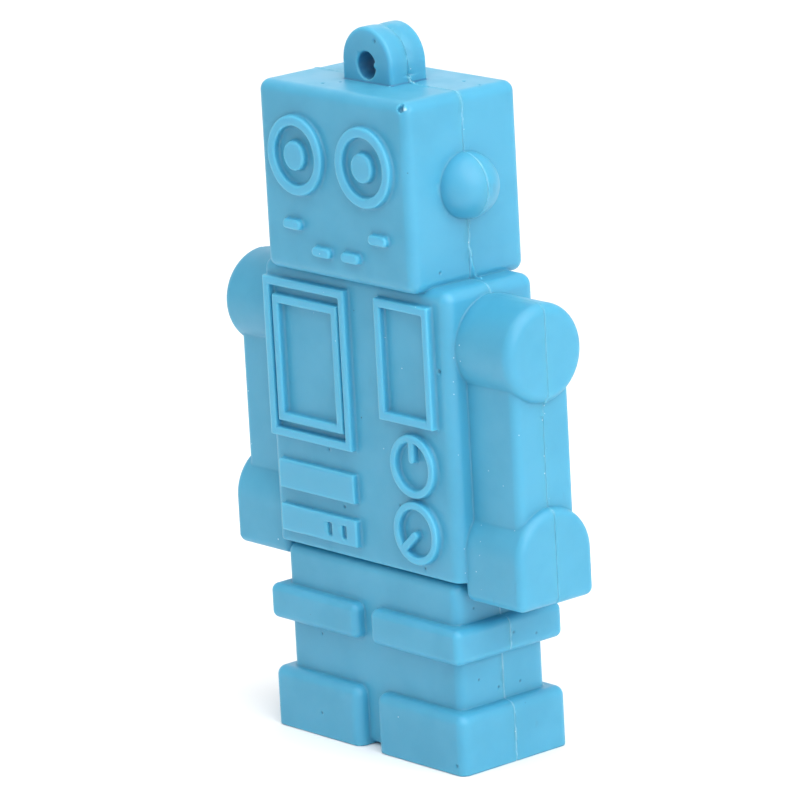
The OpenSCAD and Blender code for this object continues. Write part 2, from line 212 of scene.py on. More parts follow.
class Field:
    """A block of space filled with signed distances to a surface, in millimetres."""

    def __init__(self, lo, hi, step, offset=(0, 0, 0)):
        self.step = step
        self.offset = offset
        self.lo = np.array(lo, float) - 4 * step
        counts = np.ceil((np.array(hi, float) + 4 * step - self.lo) / step).astype(int) + 1
        self.axes = [self.lo[i] + step * np.arange(counts[i]) for i in range(3)]
        self.d = np.full(counts, FAR, np.float32)

    def window(self, lo, hi, margin):
        """The slices and open coordinate arrays of the space between two corners."""
        cuts = []
        for i in range(3):
            a = np.searchsorted(self.axes[i], lo[i] - margin)
            b = np.searchsorted(self.axes[i], hi[i] + margin)
            cuts.append(slice(a, max(a, b)))
        x, y, z = (self.axes[i][cuts[i]].astype(np.float32) for i in range(3))
        return tuple(cuts), x[:, None, None], y[None, :, None], z[None, None, :]

    def _merge(self, shape, blend, sign):
        """Joins a shape on (sign 1) or cuts it away (sign -1), rounding the join by blend."""
        lo, hi, distance = shape
        shift = np.array(self.offset, float)
        margin = blend + 5 * self.step
        cut, x, y, z = self.window(np.array(lo) + shift, np.array(hi) + shift, margin)
        new = distance(x - shift[0], y - shift[1], z - shift[2]).astype(np.float32)
        old = self.d[cut] * sign
        if blend:
            h = np.clip(0.5 + 0.5 * (old - new) / blend, 0, 1)
            merged = old + (new - old) * h - blend * h * (1 - h)
        else:
            merged = np.minimum(old, new)
        self.d[cut] = merged * sign

    def add(self, shape, blend=0.0):
        """Adds a shape to the solid."""
        self._merge(shape, blend, 1)

    def cut(self, shape, blend=0.0):
        """Takes a shape away from the solid."""
        self._merge(shape, blend, -1)

    def swell(self, amount, reach):
        """Grows the solid by amount(x, y, z) mm within reach of the plane between the halves."""
        x0, x1 = self.axes[0][[0, -1]]
        z0, z1 = self.axes[2][[0, -1]]
        cut, x, y, z = self.window((x0, 0, z0), (x1, 0, z1), reach)
        self.d[cut] -= amount(x, y, z).astype(np.float32)

    def keep(self, axis, side):
        """Keeps only the half of space, across an axis, that side points to."""
        shape = [1, 1, 1]
        shape[axis] = -1
        plane = self.axes[axis].astype(np.float32).reshape(shape) * -side
        self.d = np.maximum(self.d, plane)

    def mesh(self, name, adaptivity=0.002):
        """Turns the field into a mesh object in metres with smooth shading from the field itself."""
        band = 3 * self.step
        grid = vdb.FloatGrid(band)
        grid.copyFromArray(np.clip(self.d, -band, band))
        points, triangles, quads = grid.convertToPolygons(isovalue=0.0, adaptivity=adaptivity)
        normals = self.slope(points)
        data = bpy.data.meshes.new(name)
        faces = quads.tolist() + triangles.tolist()
        data.from_pydata(((points * self.step + self.lo) * MM).tolist(), [], faces)
        data.update()
        data.shade_smooth()
        data.normals_split_custom_set_from_vertices(normals.tolist())
        made = bpy.data.objects.new(name, data)
        bpy.context.scene.collection.objects.link(made)
        return made

    def slope(self, points):
        """The field's unit gradient at points given in grid steps."""
        grads = []
        for i in range(3):
            ahead, behind = points.copy(), points.copy()
            ahead[:, i] += 0.5
            behind[:, i] -= 0.5
            grads.append(self.sample(ahead) - self.sample(behind))
        g = np.stack(grads, axis=1)
        return g / np.maximum(np.linalg.norm(g, axis=1, keepdims=True), 1e-9)

    def sample(self, points):
        """The field's values at points given in grid steps, between the grid's own points."""
        top = np.array(self.d.shape) - 2
        base = np.clip(np.floor(points).astype(int), 0, top)
        f = points - base
        total = 0.0
        for corner in range(8):
            bits = [(corner >> i) & 1 for i in range(3)]
            weight = np.ones(len(points))
            for i in range(3):
                weight = weight * (f[:, i] if bits[i] else 1 - f[:, i])
            index = base + np.array(bits)
            total = total + weight * self.d[index[:, 0], index[:, 1], index[:, 2]]
        return total


# ---------------------------------------------------------------- the soft figure

STEP = 0.12


def waves(a, b, seed):
    """Smooth, repeatable noise from -1 to 1 over two coordinates in mm."""
    rng = np.random.default_rng(seed)
    total = 0.0
    for size in (0.9, 1.7, 3.1, 5.3, 9.7):
        ka, kb = rng.uniform(0.6, 1.4, 2) * size
        total = total + np.sin(ka * a + kb * b + rng.uniform(0, 6.28)) / 5 ** 0.5
    return np.clip(total, -1, 1)


def seam_ridge(patches, seed):
    """Height of the flash that stands along the parting line, thicker in the given patches.

    A patch is (least |x|, most |x|, least z, most z, extra height, how far it leans in y).
    Below zero, the extra height makes a groove.
    """

    def height(x, y, z):
        wave = waves(np.abs(x) + 0.3 * np.sign(x), z, seed)
        trimmed = (np.abs(x) > 13) | (z > 61.6)
        share = np.where(trimmed, 0.25, 1.0)
        total = share * np.maximum(0.02 + 0.03 * wave, 0) * np.exp(-((y / 0.12) ** 2))
        for x0, x1, z0, z1, extra, lean in patches:
            inside = (np.abs(x) > x0) & (np.abs(x) < x1) & (z > z0) & (z < z1)
            depth = (z1 - z) / (z1 - z0)
            middle = lean * depth**2 + 0.05 * wave * (abs(lean) > 0)
            width = 0.14 if extra > 0 else 0.5
            bead = extra * (1 + 0.5 * wave) * np.exp(-(((y - middle) / width) ** 2))
            total = total + np.where(inside, bead, 0)
        return total

    return height


FIGURE_FLASH = (
    (9.2, 10.8, 43.5, 46.9, 0.19, 0.9),
    (9.2, 10.8, 46.6, 49.7, 0.13, 0.04),
    (0.0, 3.6, 61.6, 66.2, -0.13, 0.0),
    (9.0, 10.5, 58.2, 60.9, 0.05, 0.0),
    (3.4, 10.2, 60.6, 61.4, 0.06, 0.0),
    (3.1, 4.2, 60.7, 61.5, 0.20, 0.0),
    (10.5, 13.5, 49.4, 52.0, 0.04, 0.0),
    (18.4, 19.7, 33.0, 34.4, 0.14, -0.2),
    (18.4, 19.8, 24.2, 25.1, 0.10, 0.0),
)
LEGS_FLASH = (
    (11.5, 13.2, 0.0, 6.3, 0.02, 0.0),
    (11.0, 12.2, 5.7, 6.5, 0.08, 0.0),
    (11.5, 13.2, 10.0, 14.0, 0.03, 0.0),
)

# Small pits: where the surface is, its outward direction, and the pit's radius.
FIGURE_PITS = (
    ((-3.3, -4.6, 61.0), (0, 0, 1), 0.20),
    ((-2.4, -3.3, 61.0), (0, 0, 1), 0.17),
    ((6.6, 3.4, 61.0), (0, 0, 1), 0.20),
    ((9.0, 3.1, 61.0), (0, 0, 1), 0.17),
    ((1.2, -2.15, 64.85), (0, -1, 0), 0.20),
    ((10.0, -3.5, 45.3), (1, 0, 0), 0.16),
    ((11.2, -5.3, 36.9), (0, -1, 0), 0.24),
    ((-2.8, -5.3, 22.2), (0, -1, 0), 0.18),
    ((-4.5, -5.3, 27.3), (0, -1, 0), 0.15),
    ((7.9, -5.3, 18.3), (0, -1, 0), 0.15),
    ((4.9, -5.3, 23.6), (0, -1, 0), 0.15),
)
LEGS_PITS = (
    ((11.7, -3.1, 14.8), (1, 0, 0), 0.17),
    ((12.95, 0.4, 12.0), (1, 0, 0), 0.17),
    ((12.95, 3.1, 11.3), (1, 0, 0), 0.15),
    ((12.95, 1.4, 5.2), (1, 0, 0), 0.15),
    ((11.65, -2.9, 8.1), (1, 0, 0), 0.15),
    ((11.65, -0.6, 6.9), (1, 0, 0), 0.15),
    ((11.65, 2.0, 6.8), (1, 0, 0), 0.15),
    ((12.0, -6.4, 0.95), (0, -1, 0), 0.20),
    ((-7.2, -5.15, 9.4), (0, -1, 0), 0.15),
    ((-6.4, -6.4, 2.3), (0, -1, 0), 0.17),
)
NICK = (9.22, -6.3, 60.38)  # in the top front corner of the head


def add_pits(field, pits):
    """Cuts the small pits into a field."""
    for place, out, r in pits:
        centre = np.array(place) + np.array(out) * r * 0.25
        field.cut(ball(centre, r), 0.03)


def add_face(field):
    """Eyes and mouth on the front of the head."""
    face = -HEAD["d"] / 2
    for side in (-1, 1):
        x = HEAD["x"] + side * EYE["x"]
        ring = disc_y(x, EYE["z"], face + ROOT, face - EYE["h"], EYE["r"], 0.2, EYE["hole"])
        field.add(ring, CREASE)
        pupil = disc_y(x, EYE["z"], face + ROOT, face - EYE["pupil_h"], EYE["pupil"], 0.2)
        field.add(pupil, CREASE)
        reach = (MOUTH["length"] - MOUTH["t"]) / 2
        for from_middle, z in (MOUTH["inner"], MOUTH["outer"]):
            middle = MOUTH["x"] + side * from_middle
            xa, xb = middle - reach, middle + reach
            bar = bar_y(xa, z, xb, z, MOUTH["t"], face + ROOT, face - MOUTH["h"], 0.25)
            field.add(bar, CREASE)


def add_chest(field):
    """Frames, dials and plates on the front of the torso."""
    face = -TORSO["d"] / 2
    y0, y1 = face + ROOT, face - RELIEF["h"]
    r = RELIEF["r"]
    for outline in FRAMES:
        field.add(frame_y(*outline, RELIEF["line"], y0, y1, r), CREASE)
    x, up, low = DIAL["x"], DIAL["z_upper"], DIAL["z_lower"]
    for z in (up, low):
        field.add(disc_y(x, z, y0, y1, DIAL["r"], r, DIAL["hole"]), CREASE)
    field.add(bar_y(x, up + 0.65, x, up + 2.4, 0.7, y0, y1, r), 0.1)
    field.add(bar_y(x - 0.15, low - 0.25, x - 1.65, low - 1.6, 0.75, y0, y1, r), 0.1)
    plate = y1 + RELIEF["plate_drop"]
    for x0, x1, z0, z1 in PLATES:
        field.add(block((x0, plate, z0), (x1, y0, z1), r), CREASE)
    for slot_x in SLOT["xs"]:
        lo = (slot_x - SLOT["half_w"], plate - 0.3, SLOT["z0"])
        hi = (slot_x + SLOT["half_w"], plate + 0.45, SLOT["z1"])
        field.cut(block(lo, hi, 0.15), 0.08)


def add_faults(field):
    """The nicked corner of the head and the bead of flash inside the loop's hole."""
    corner = np.array(NICK)
    field.cut(ball(corner, 0.34), 0.03)
    field.cut(ball(corner + (-0.05, 0.0, 0.38), 0.22), 0.03)
    field.add(ball(corner + (0.4, 0.12, 0.12), 0.2), 0.1)
    field.add(ball(corner + (0.3, 0.05, -0.32), 0.13), 0.1)
    bead = (LOOP["x"] + LOOP["hole"] * 0.97, -1.8, LOOP["hole_z"] + 0.08)
    field.add(ball(bead, 0.38), 0.08)


def figure_field(side):
    """The front (side -1) or back (side 1) half of the upper figure."""
    lo = (-HAND["x"], -HEAD["d"] / 2 - EYE["pupil_h"] if side < 0 else 0.0, HAND["z0"])
    hi = (HAND["x"], 0.0 if side < 0 else HEAD["d"] / 2, LOOP["z"] + LOOP["r"])
    f = Field(lo, hi, STEP, BACK_SHIFT if side > 0 else (0, 0, 0))
    h, t, s = HEAD, TORSO, SHOULDER
    torso_lo = (-t["w"] / 2, -t["d"] / 2, t["z0"] - 3)
    f.add(block(torso_lo, (t["w"] / 2, t["d"] / 2, t["z1"]), t["r"]))
    f.cut(block((-30, -30, t["z0"] - 9), (30, 30, t["z0"]), 0.0), t["foot_r"])
    head_lo = (h["x"] - h["w"] / 2, -h["d"] / 2, h["z0"])
    f.add(block(head_lo, (h["x"] + h["w"] / 2, h["d"] / 2, h["z1"]), h["r"]), 0.06)
    f.add(block((-8, -3.8, 41), (8, 3.8, 47), 0.2))
    for k in (-1, 1):
        f.add(arch_x(k * 12.0, k * HAND["x"], HAND["d"] / 2, HAND["z0"], HAND["z1"], HAND["r"]), 0.08)
        arm_lo = (min(k * 12.0, k * ARM["x"]), -ARM["d"] / 2, 20.0)
        arm_hi = (max(k * 12.0, k * ARM["x"]), ARM["d"] / 2, s["z"])
        f.add(block(arm_lo, arm_hi, ARM["r"]), 0.1)
        f.add(drum_x(k * 11.5, k * s["x"], 0, s["z"], s["r"], s["rim"]), 0.1)
        f.add(ball((h["x"] + k * EAR["x"], 0, EAR["z"]), EAR["r"]), 0.1)
    half_t, top = LOOP["t"] / 2, LOOP["z"] + LOOP["r"]
    f.add(arch_y(LOOP["x"], -half_t, half_t, LOOP["r"], 58.0, top, LOOP["r_edge"]), 0.06)
    if side < 0:
        add_face(f)
        add_chest(f)
    f.swell(seam_ridge(FIGURE_FLASH, 11), SEAM_REACH)
    f.cut(disc_y(LOOP["x"], LOOP["hole_z"], -6, 6, LOOP["hole"], 0.1), 0.12)
    if side < 0:
        add_faults(f)
    add_pits(f, FIGURE_PITS)
    f.offset = (0, 0, 0)  # the case sits true, whatever the skin does
    half_w, half_d = CASE["w"] / 2, CASE["d"] / 2
    f.cut(block((-half_w, -half_d, t["z0"] - 3), (half_w, half_d, CASE["z1"]), 0.2))
    f.keep(1, side)
    return f


def legs_field(side):
    """The front (side -1) or back (side 1) half of the legs cap."""
    half_d = FOOT["d"] / 2
    lo = (-FOOT["w"] / 2, -half_d if side < 0 else 0.0, 0.0)
    hi = (FOOT["w"] / 2, 0.0 if side < 0 else half_d, HIP["z1"])
    f = Field(lo, hi, STEP)
    f.add(block((-HIP["w"] / 2, -HIP["d"] / 2, 0.1), (HIP["w"] / 2, HIP["d"] / 2, HIP["z1"]), HIP["r"]))
    for k in (-1, 1):
        for part, z0 in ((FOOT, -3.0), (BAND, BAND["z0"])):
            xs = sorted((k * part["gap"] / 2, k * part["w"] / 2))
            shape = block((xs[0], -part["d"] / 2, z0), (xs[1], part["d"] / 2, part["z1"]), part["r"])
            f.add(shape, 0.12)
    f.swell(seam_ridge(LEGS_FLASH, 12), SEAM_REACH)
    f.cut(block((-30, -30, -9), (30, 30, 0), 0.0), FOOT["foot_r"])
    add_pits(f, LEGS_PITS)
    half_w, half_d = POCKET["w"] / 2, POCKET["d"] / 2
    f.cut(block((-half_w, -half_d, POCKET["z0"]), (half_w, half_d, HIP["z1"] + 3), 0.4), 0.15)
    f.keep(1, side)
    f.keep(2, 1)
    return f


# ---------------------------------------------------------------- materials


class Shader:
    """A node material on a Principled shader, with short helpers for the usual nodes."""

    def __init__(self, name, roughness, metallic=0.0):
        self.material = bpy.data.materials.new(name)
        self.material.use_nodes = True
        self.tree = self.material.node_tree
        self.surface = self.tree.nodes["Principled BSDF"]
        self.surface.inputs["Roughness"].default_value = roughness
        self.surface.inputs["Metallic"].default_value = metallic
        coords = self.tree.nodes.new("ShaderNodeTexCoord").outputs["Object"]
        self.mm = self.vector("SCALE", coords, scale=1 / MM)
        split = self.tree.nodes.new("ShaderNodeSeparateXYZ")
        self.join(self.mm, split.inputs[0])
        self.x, self.y, self.z = split.outputs

    def join(self, source, socket):
        """Links an output to an input."""
        self.tree.links.new(source, socket)

    def put(self, value, socket):
        """Feeds a socket from another node's output or from a plain value."""
        if isinstance(value, bpy.types.NodeSocket):
            self.join(value, socket)
        else:
            socket.default_value = value

    def vector(self, operation, a, b=None, scale=None):
        """A vector operation's result."""
        node = self.tree.nodes.new("ShaderNodeVectorMath")
        node.operation = operation
        self.put(a, node.inputs[0])
        if b is not None:
            self.put(b, node.inputs[1])
        if scale is not None:
            node.inputs["Scale"].default_value = scale
        return node.outputs["Value" if operation in ("DISTANCE", "LENGTH") else "Vector"]

    def math(self, operation, a, b=0.0):
        """The result of arithmetic on numbers or outputs."""
        node = self.tree.nodes.new("ShaderNodeMath")
        node.operation = operation
        self.put(a, node.inputs[0])
        self.put(b, node.inputs[1])
        return node.outputs[0]

    def ramp(self, value, low, high, out_low=0.0, out_high=1.0):
        """Maps a value smoothly from low..high to out_low..out_high and holds it there."""
        node = self.tree.nodes.new("ShaderNodeMapRange")
        node.interpolation_type = "SMOOTHSTEP"
        for socket, number in zip(node.inputs[1:5], (low, high, out_low, out_high)):
            socket.default_value = number
        self.put(value, node.inputs[0])
        return node.outputs[0]

    def noise(self, size, detail=3.0, stretch=(1, 1, 1)):
        """Noise from 0 to 1 whose features are about size mm across."""
        node = self.tree.nodes.new("ShaderNodeTexNoise")
        node.inputs["Scale"].default_value = 1 / size
        node.inputs["Detail"].default_value = detail
        coords = self.mm if stretch == (1, 1, 1) else self.vector("MULTIPLY", self.mm, stretch)
        self.join(coords, node.inputs["Vector"])
        return node.outputs["Fac"]

    def specks(self, spacing, radius, share):
        """Round specks of a radius in mm, one in a share of the cells of a spacing in mm."""
        node = self.tree.nodes.new("ShaderNodeTexVoronoi")
        node.inputs["Scale"].default_value = 1 / spacing
        self.join(self.mm, node.inputs["Vector"])
        split = self.tree.nodes.new("ShaderNodeSeparateColor")
        self.join(node.outputs["Color"], split.inputs[0])
        size = self.math("MULTIPLY_ADD", split.outputs[1], 0.7 * radius / spacing)
        size.node.inputs[2].default_value = 0.5 * radius / spacing
        inside = self.math("LESS_THAN", node.outputs["Distance"], size)
        chosen = self.math("LESS_THAN", split.outputs[0], share)
        return self.math("MULTIPLY", inside, chosen)

    def mix(self, factor, a, b):
        """A colour between a and b."""
        node = self.tree.nodes.new("ShaderNodeMix")
        node.data_type = "RGBA"
        self.put(factor, node.inputs["Factor"])
        self.put((*a, 1) if isinstance(a, tuple) else a, node.inputs[6])
        self.put((*b, 1) if isinstance(b, tuple) else b, node.inputs[7])
        return node.outputs[2]

    def bump(self, height, depth_mm, over=None):
        """A bump of up to depth_mm, laid over an earlier one."""
        node = self.tree.nodes.new("ShaderNodeBump")
        node.inputs["Strength"].default_value = 1.0
        node.inputs["Distance"].default_value = depth_mm * MM
        self.join(height, node.inputs["Height"])
        if over is not None:
            self.join(over, node.inputs["Normal"])
        return node.outputs["Normal"]

    def finish(self, colour, roughness, normal):
        """Feeds the surface and gives the finished material."""
        self.put(colour, self.surface.inputs["Base Color"])
        self.put(roughness, self.surface.inputs["Roughness"])
        self.put(normal, self.surface.inputs["Normal"])
        return self.material


SOFT = dict(
    colour=(0.060, 0.33, 0.50),
    deep=(0.052, 0.305, 0.465),
    # worn is no wear here: it is the colour of the painted glow on the raised relief
    worn=(0.068, 0.352, 0.53),
    pale=(0.28, 0.60, 0.82),
    scuff=(0.06, 0.24, 0.36),
    # pit is the dirt in the pits, and also the painted shade in the head's nick
    pit=(0.01, 0.07, 0.12),
    # hole is the colour of the painted shade in the loop's crease and inside its hole
    hole=(0.02, 0.14, 0.31),
    # dust is real white dust, and also the colour of the painted highlight beside the nick
    dust=(0.62, 0.78, 0.84),
    weight=0.8,
    radius=(0.8, 0.9, 0.9),
    scale=0.0018,
)


def paint_relief_glow(s, colour):
    """Makes the raised relief a little paler than the faces it stands on: a painted glow standing in
    for light that comes through the thin silicone.
    """
    below_head = s.ramp(s.z, 43.2, 43.6, 1.0, 0.0)
    face = s.math("MULTIPLY_ADD", below_head, (HEAD["d"] - TORSO["d"]) / 2)
    face.node.inputs[2].default_value = -HEAD["d"] / 2
    raised = s.ramp(s.math("SUBTRACT", face, s.y), 0.3, 0.6, 0.0, 1.0)
    raised = s.math("MULTIPLY", raised, s.ramp(s.z, 17.2, 17.5))
    raised = s.math("MULTIPLY", raised, s.ramp(s.math("ABSOLUTE", s.x), 11.9, 12.1, 1.0, 0.0))
    return s.mix(raised, colour, SOFT["worn"])


def tint_seam(s, colour, across):
    """Makes the parting line paler than the skin, in broken dashes, and fainter on the arms."""
    seam = s.ramp(across, 0.05, 0.13, 1.0, 0.0)
    seam = s.math("MULTIPLY", seam, s.ramp(s.noise(1.6, 2), 0.35, 0.65, 0.18, 0.5))
    seam = s.math("MULTIPLY", seam, s.ramp(s.z, 60.8, 61.3, 1.0, 0.2))
    seam = s.math("MULTIPLY", seam, s.ramp(s.math("ABSOLUTE", s.x), 13.0, 14.0, 1.0, 0.45))
    return s.mix(seam, colour, SOFT["pale"])


def paint_nick_shade_and_highlight(s, colour):
    """Paints shade into the hollow of the head's nick, and a painted highlight on the ragged lip beside
    it.
    """
    hollow = s.ramp(s.vector("DISTANCE", s.mm, NICK), 0.2, 0.36, 0.8, 0.0)
    # painted shade in the nick's hollow
    colour = s.mix(hollow, colour, SOFT["pit"])
    lip = tuple(np.add(NICK, (0.38, 0.1, 0.05)))
    # painted highlight on the lip beside the nick
    nick_highlight = s.ramp(s.vector("DISTANCE", s.mm, lip), 0.12, 0.24, 0.8, 0.0)
    return s.mix(nick_highlight, colour, SOFT["dust"])


def paint_loop_shade(s, colour, across):
    """Darkens the crease round the loop's foot and the inside of its hole with painted shade."""
    aside = s.math("ABSOLUTE", s.math("SUBTRACT", s.x, LOOP["x"]))
    aside = s.math("SUBTRACT", aside, LOOP["r"])
    ahead = s.math("SUBTRACT", across, LOOP["t"] / 2)
    # painted shade along the crease round the loop's foot
    crease = s.ramp(s.math("ABSOLUTE", s.math("MAXIMUM", aside, ahead)), 0.04, 0.16, 0.75, 0.0)
    level = s.math("ABSOLUTE", s.math("SUBTRACT", s.z, HEAD["z1"]))
    level = s.ramp(level, 0.05, 0.16, 1.0, 0.0)
    colour = s.mix(s.math("MULTIPLY", crease, level), colour, SOFT["hole"])
    axis = (LOOP["x"], 0.0, LOOP["hole_z"])
    # painted shade inside the loop's hole
    radial = s.vector("DISTANCE", s.vector("MULTIPLY", s.mm, (1, 0, 1)), axis)
    bore_shade = s.ramp(radial, LOOP["hole"] + 0.02, LOOP["hole"] + 0.12, 0.7, 0.0)
    inside = s.ramp(across, LOOP["t"] / 2 - 0.35, LOOP["t"] / 2 - 0.05, 1.0, 0.0)
    return s.mix(s.math("MULTIPLY", bore_shade, inside), colour, SOFT["hole"])


def tint_scuffs(s, colour):
    """Adds faint grey scuffs, longer than they are wide."""
    scuff = s.ramp(s.noise(0.8, 3, (1.0, 0.5, 0.22)), 0.66, 0.76, 0.0, 0.35)
    scuff = s.math("MULTIPLY", scuff, s.ramp(s.noise(5.0, 1), 0.52, 0.66))
    return s.mix(scuff, colour, SOFT["scuff"])


def tint_pits(s, colour, pits):
    """Puts dirt in the scattered pits and in each modelled one."""
    colour = s.mix(s.math("MULTIPLY", pits, 0.75), colour, SOFT["pit"])
    for place, _, radius in FIGURE_PITS + LEGS_PITS:
        away = s.vector("DISTANCE", s.mm, place)
        dirt = s.ramp(away, 0.4 * radius, 1.1 * radius, 0.55, 0.0)
        colour = s.mix(dirt, colour, SOFT["pit"])
    return colour


def white_dust(s, across):
    """White dust, gathered beside the arms and as crumbs along the seam."""
    beside = s.math("ABSOLUTE", s.x)
    near = s.math("MULTIPLY", s.ramp(beside, 12.2, 12.9), s.ramp(beside, 13.8, 15.2, 1.0, 0.0))
    near = s.math("MULTIPLY", near, s.ramp(s.z, 41, 44, 1.0, 0.0))
    crumbs = s.ramp(across, 0.12, 0.35, 0.30, 0.0)
    share = s.math("MAXIMUM", s.math("MULTIPLY", near, 0.30), crumbs)
    return s.specks(0.62, 0.072, s.math("MAXIMUM", share, 0.010))


def silicone():
    """Light-blue silicone with mottling, dust, pits, pale flash and a few scuffs, and with painted
    light: a painted glow on the raised relief, painted shade in the head's nick and round the loop, and
    a painted highlight beside the nick.
    """
    s = Shader("light_blue_silicone", 0.42)
    s.surface.inputs["Subsurface Weight"].default_value = SOFT["weight"]
    s.surface.inputs["Subsurface Radius"].default_value = SOFT["radius"]
    s.surface.inputs["Subsurface Scale"].default_value = SOFT["scale"]
    across = s.math("ABSOLUTE", s.y)
    pits = s.specks(2.4, 0.085, 0.16)
    dust = white_dust(s, across)
    colour = s.mix(s.ramp(s.noise(6.0, 4), 0.35, 0.7), SOFT["colour"], SOFT["deep"])
    # The relief, nick and loop steps paint light and shade into the colour.
    colour = paint_relief_glow(s, colour)
    colour = tint_seam(s, colour, across)
    colour = paint_nick_shade_and_highlight(s, colour)
    colour = paint_loop_shade(s, colour, across)
    colour = tint_scuffs(s, colour)
    colour = tint_pits(s, colour, pits)
    colour = s.mix(s.math("MULTIPLY", dust, 0.6), colour, SOFT["dust"])
    grain = s.bump(s.noise(0.16, 2), 0.006)
    swell = s.bump(s.noise(4.5, 2), 0.05, grain)
    normal = s.bump(s.math("SUBTRACT", dust, pits), 0.03, swell)
    satin = s.ramp(s.noise(3.0, 4), 0.3, 0.7, 0.38, 0.47)
    rough = s.math("ADD", satin, s.math("MULTIPLY", dust, 0.3))
    return s.finish(colour, rough, normal)


def worn(name, colour, other, roughness, metallic=0.0, size=1.0, stretch=(1, 1, 1), depth=0.004,
         wear=None):
    """A hard material whose tone, roughness and bump all vary, with optional worn patches."""
    s = Shader(name, roughness, metallic)
    broad = s.noise(size * 4, 4)
    fine = s.noise(size * 0.22, 3, stretch)
    tone = s.mix(s.ramp(broad, 0.35, 0.68), colour, other)
    if wear is not None:
        patches = s.ramp(s.noise(size * 1.3, 5, stretch), 0.6, 0.7, 0.0, 0.8)
        tone = s.mix(patches, tone, wear)
    dust = s.specks(1.1, 0.05, 0.1)
    tone = s.mix(s.math("MULTIPLY", dust, 0.5), tone, (0.7, 0.7, 0.68))
    low, high = roughness * 0.8, min(roughness * 1.25, 1.0)
    rough = s.ramp(s.math("ADD", fine, broad), 0.7, 1.3, low, high)
    normal = s.bump(s.noise(size * 0.9, 2, stretch), depth * 2, s.bump(fine, depth))
    return s.finish(tone, rough, normal)


def board_material():
    """Green solder mask over copper tracks, with bare tinned spots."""
    s = Shader("green_solder_mask", 0.35)
    cells = s.tree.nodes.new("ShaderNodeTexVoronoi")
    cells.distance = "CHEBYCHEV"
    cells.feature = "DISTANCE_TO_EDGE"
    cells.inputs["Scale"].default_value = 0.55
    s.join(s.mm, cells.inputs["Vector"])
    tracks = s.ramp(cells.outputs["Distance"], 0.03, 0.09, 1.0, 0.0)
    tone = s.mix(s.ramp(s.noise(5.0, 3), 0.35, 0.65), (0.012, 0.16, 0.06), (0.018, 0.21, 0.09))
    tone = s.mix(s.math("MULTIPLY", tracks, 0.6), tone, (0.05, 0.32, 0.13))
    vias = s.specks(1.6, 0.22, 0.3)
    tone = s.mix(vias, tone, (0.62, 0.60, 0.54))
    rough = s.ramp(s.noise(0.8, 4), 0.3, 0.7, 0.28, 0.42)
    normal = s.bump(s.math("ADD", tracks, vias), 0.02, s.bump(s.noise(0.3, 2), 0.004))
    return s.finish(tone, rough, normal)


def bevel(node, width_mm):
    """Rounds a CAD node's sharp edges."""
    edges = node.modifiers.new("soft_edges", "BEVEL")
    edges.width = width_mm * MM
    edges.segments = 2
    edges.limit_method = "ANGLE"
    edges.angle_limit = math.radians(40)
    edges.use_clamp_overlap = True


def dress_drive():
    """Materials and softened edges for the drive's own parts."""
    case = worn("case_plastic", (0.80, 0.80, 0.75), (0.74, 0.73, 0.66), 0.5, size=1.2, depth=0.008)
    epoxy = worn("chip_epoxy", (0.022, 0.022, 0.025), (0.03, 0.03, 0.032), 0.55, size=0.5, depth=0.006)
    leads = worn("tinned_leads", (0.66, 0.65, 0.62), (0.55, 0.54, 0.51), 0.32, 1.0, 0.4)
    can = worn(
        "crystal_can", (0.72, 0.71, 0.69), (0.62, 0.61, 0.59), 0.3, 1.0, 0.6, (6, 1, 1), 0.003
    )
    brown = worn("capacitor_ceramic", (0.36, 0.23, 0.12), (0.30, 0.19, 0.10), 0.45, size=0.4)
    black = worn("resistor_glaze", (0.03, 0.03, 0.034), (0.05, 0.05, 0.052), 0.3, size=0.4)
    lens = worn("led_lens", (0.85, 0.80, 0.52), (0.78, 0.74, 0.50), 0.25, size=0.5)
    steel = worn(
        "nickel_plated_shell", (0.42, 0.42, 0.43), (0.34, 0.34, 0.35), 0.28, 1.0, 1.6,
        (5, 5, 0.35), 0.0025, (0.28, 0.28, 0.29),
    )
    plastic = worn("plug_plastic", (0.82, 0.82, 0.80), (0.76, 0.76, 0.72), 0.45, size=0.8)
    gold = worn(
        "gold_contacts", (0.83, 0.58, 0.20), (0.76, 0.53, 0.20), 0.26, 1.0, 0.7,
        (5, 1, 0.4), 0.002, (0.70, 0.62, 0.45),
    )
    solder = worn("solder", (0.64, 0.64, 0.63), (0.56, 0.56, 0.56), 0.3, 1.0, 0.4, depth=0.01)
    board = board_material()
    looks = {
        "drive_case_front": (case, 0.15),
        "drive_case_back": (case, 0.15),
        "circuit_board": (board, 0.03),
        "flash_chip": (epoxy, 0.06),
        "flash_chip_leads": (leads, 0.02),
        "controller_chip": (epoxy, 0.06),
        "controller_leads": (leads, 0.02),
        "crystal": (can, 0.25),
        "voltage_regulator": (epoxy, 0.04),
        "capacitors": (brown, 0.06),
        "resistors": (black, 0.05),
        "activity_led": (lens, 0.08),
        "usb_shell": (steel, 0.06),
        "usb_tongue": (plastic, 0.08),
        "usb_rear_block": (plastic, 0.08),
        "usb_contacts": (gold, 0.03),
        "solder_joints": (solder, 0.05),
    }
    for name, (material, width) in looks.items():
        node = bpy.data.objects[name]
        node.data.materials.clear()
        node.data.materials.append(material)
        bevel(node, width)


# ---------------------------------------------------------------- build

soft = silicone()
for node, body, make, side in (
    ("figure_front", "figure", figure_field, -1),
    ("figure_back", "figure", figure_field, 1),
    ("legs_front", "legs_cap", legs_field, -1),
    ("legs_back", "legs_cap", legs_field, 1),
):
    piece = make(side).mesh("soft_" + node)
    piece.data.materials.append(soft)
    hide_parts(node)
    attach(piece, body)

dress_drive()

# ---------------------------------------------------------------- stage, light and camera


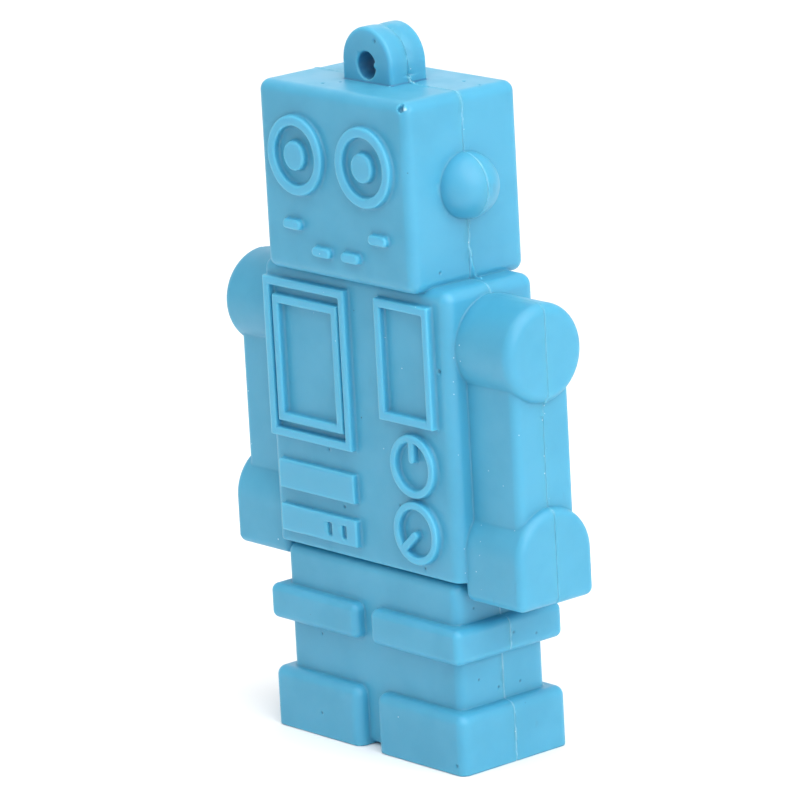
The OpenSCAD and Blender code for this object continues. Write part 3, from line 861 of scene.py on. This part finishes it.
# The camera was fitted to the photo's viewing angle. Angles in degrees, lengths in metres.
CAMERA = dict(
    azimuth=49.484,
    elevation=14.042,
    roll=-3.141,
    distance=0.5388,
    target=(0, 0, 0.033),
    sensor_mm=36.0,
    lens_mm=269.334,
    shift=(-0.0034175, -0.02031375),
)
LIGHTS = (  # name, place, what it points at, size in metres, power in watts
    ("key_softbox", (0.56, -0.06, 0.46), (0, 0, 0.03), 0.8, 5.6),
    ("top_softbox", (0.05, -0.10, 0.62), (0, 0, 0.03), 0.6, 1.7),
    ("back_softbox", (-0.74, 0.63, 0.30), (0, 0, 0.04), 1.0, 1.8),
)
WORLD_STRENGTH = 0.75


def add_floor():
    """A plain pale floor, wide enough to fill the view."""
    bpy.ops.mesh.primitive_plane_add(size=6.0, location=(0, 0, 0))
    floor = bpy.context.object
    floor.name = "studio_floor"
    material = bpy.data.materials.new("white_floor")
    material.use_nodes = True
    surface = material.node_tree.nodes["Principled BSDF"]
    surface.inputs["Base Color"].default_value = (0.90, 0.90, 0.90, 1)
    surface.inputs["Roughness"].default_value = 0.9
    floor.data.materials.append(material)


def add_area_light(name, where, target, size, power):
    """A square soft light that points at a target."""
    data = bpy.data.lights.new(name, "AREA")
    data.shape = "SQUARE"
    data.size = size
    data.energy = power
    lamp = bpy.data.objects.new(name, data)
    lamp.location = where
    aim = Vector(target) - Vector(where)
    lamp.rotation_euler = aim.to_track_quat("-Z", "Y").to_euler()
    bpy.context.scene.collection.objects.link(lamp)


def add_camera():
    """The camera at the photo's viewing angle, rolled a little as the photo is."""
    azimuth, elevation, roll = (math.radians(CAMERA[k]) for k in ("azimuth", "elevation", "roll"))
    back = Vector(
        (
            math.sin(azimuth) * math.cos(elevation),
            -math.cos(azimuth) * math.cos(elevation),
            math.sin(elevation),
        )
    )
    level_right = Vector((0, 0, 1)).cross(back).normalized()
    level_up = back.cross(level_right)
    right = level_right * math.cos(roll) + level_up * math.sin(roll)
    up = level_up * math.cos(roll) - level_right * math.sin(roll)
    data = bpy.data.cameras.new("camera")
    data.sensor_width = CAMERA["sensor_mm"]
    data.lens = CAMERA["lens_mm"]
    data.shift_x, data.shift_y = CAMERA["shift"]
    data.clip_start = 0.05
    data.clip_end = 20
    cam = bpy.data.objects.new("camera", data)
    turn = Matrix((right, up, back)).transposed().to_4x4()
    place = Vector(CAMERA["target"]) + back * CAMERA["distance"]
    cam.matrix_world = Matrix.Translation(place) @ turn
    bpy.context.scene.collection.objects.link(cam)
    bpy.context.scene.camera = cam


def add_world(strength):
    """An even white surround."""
    world = bpy.data.worlds.new("studio")
    world.use_nodes = True
    background = world.node_tree.nodes["Background"]
    background.inputs["Color"].default_value = (1, 1, 1, 1)
    background.inputs["Strength"].default_value = strength
    bpy.context.scene.world = world


bpy.context.scene.view_settings.view_transform = "Standard"
add_floor()
add_world(WORLD_STRENGTH)
for light in LIGHTS:
    add_area_light(*light)
add_camera()
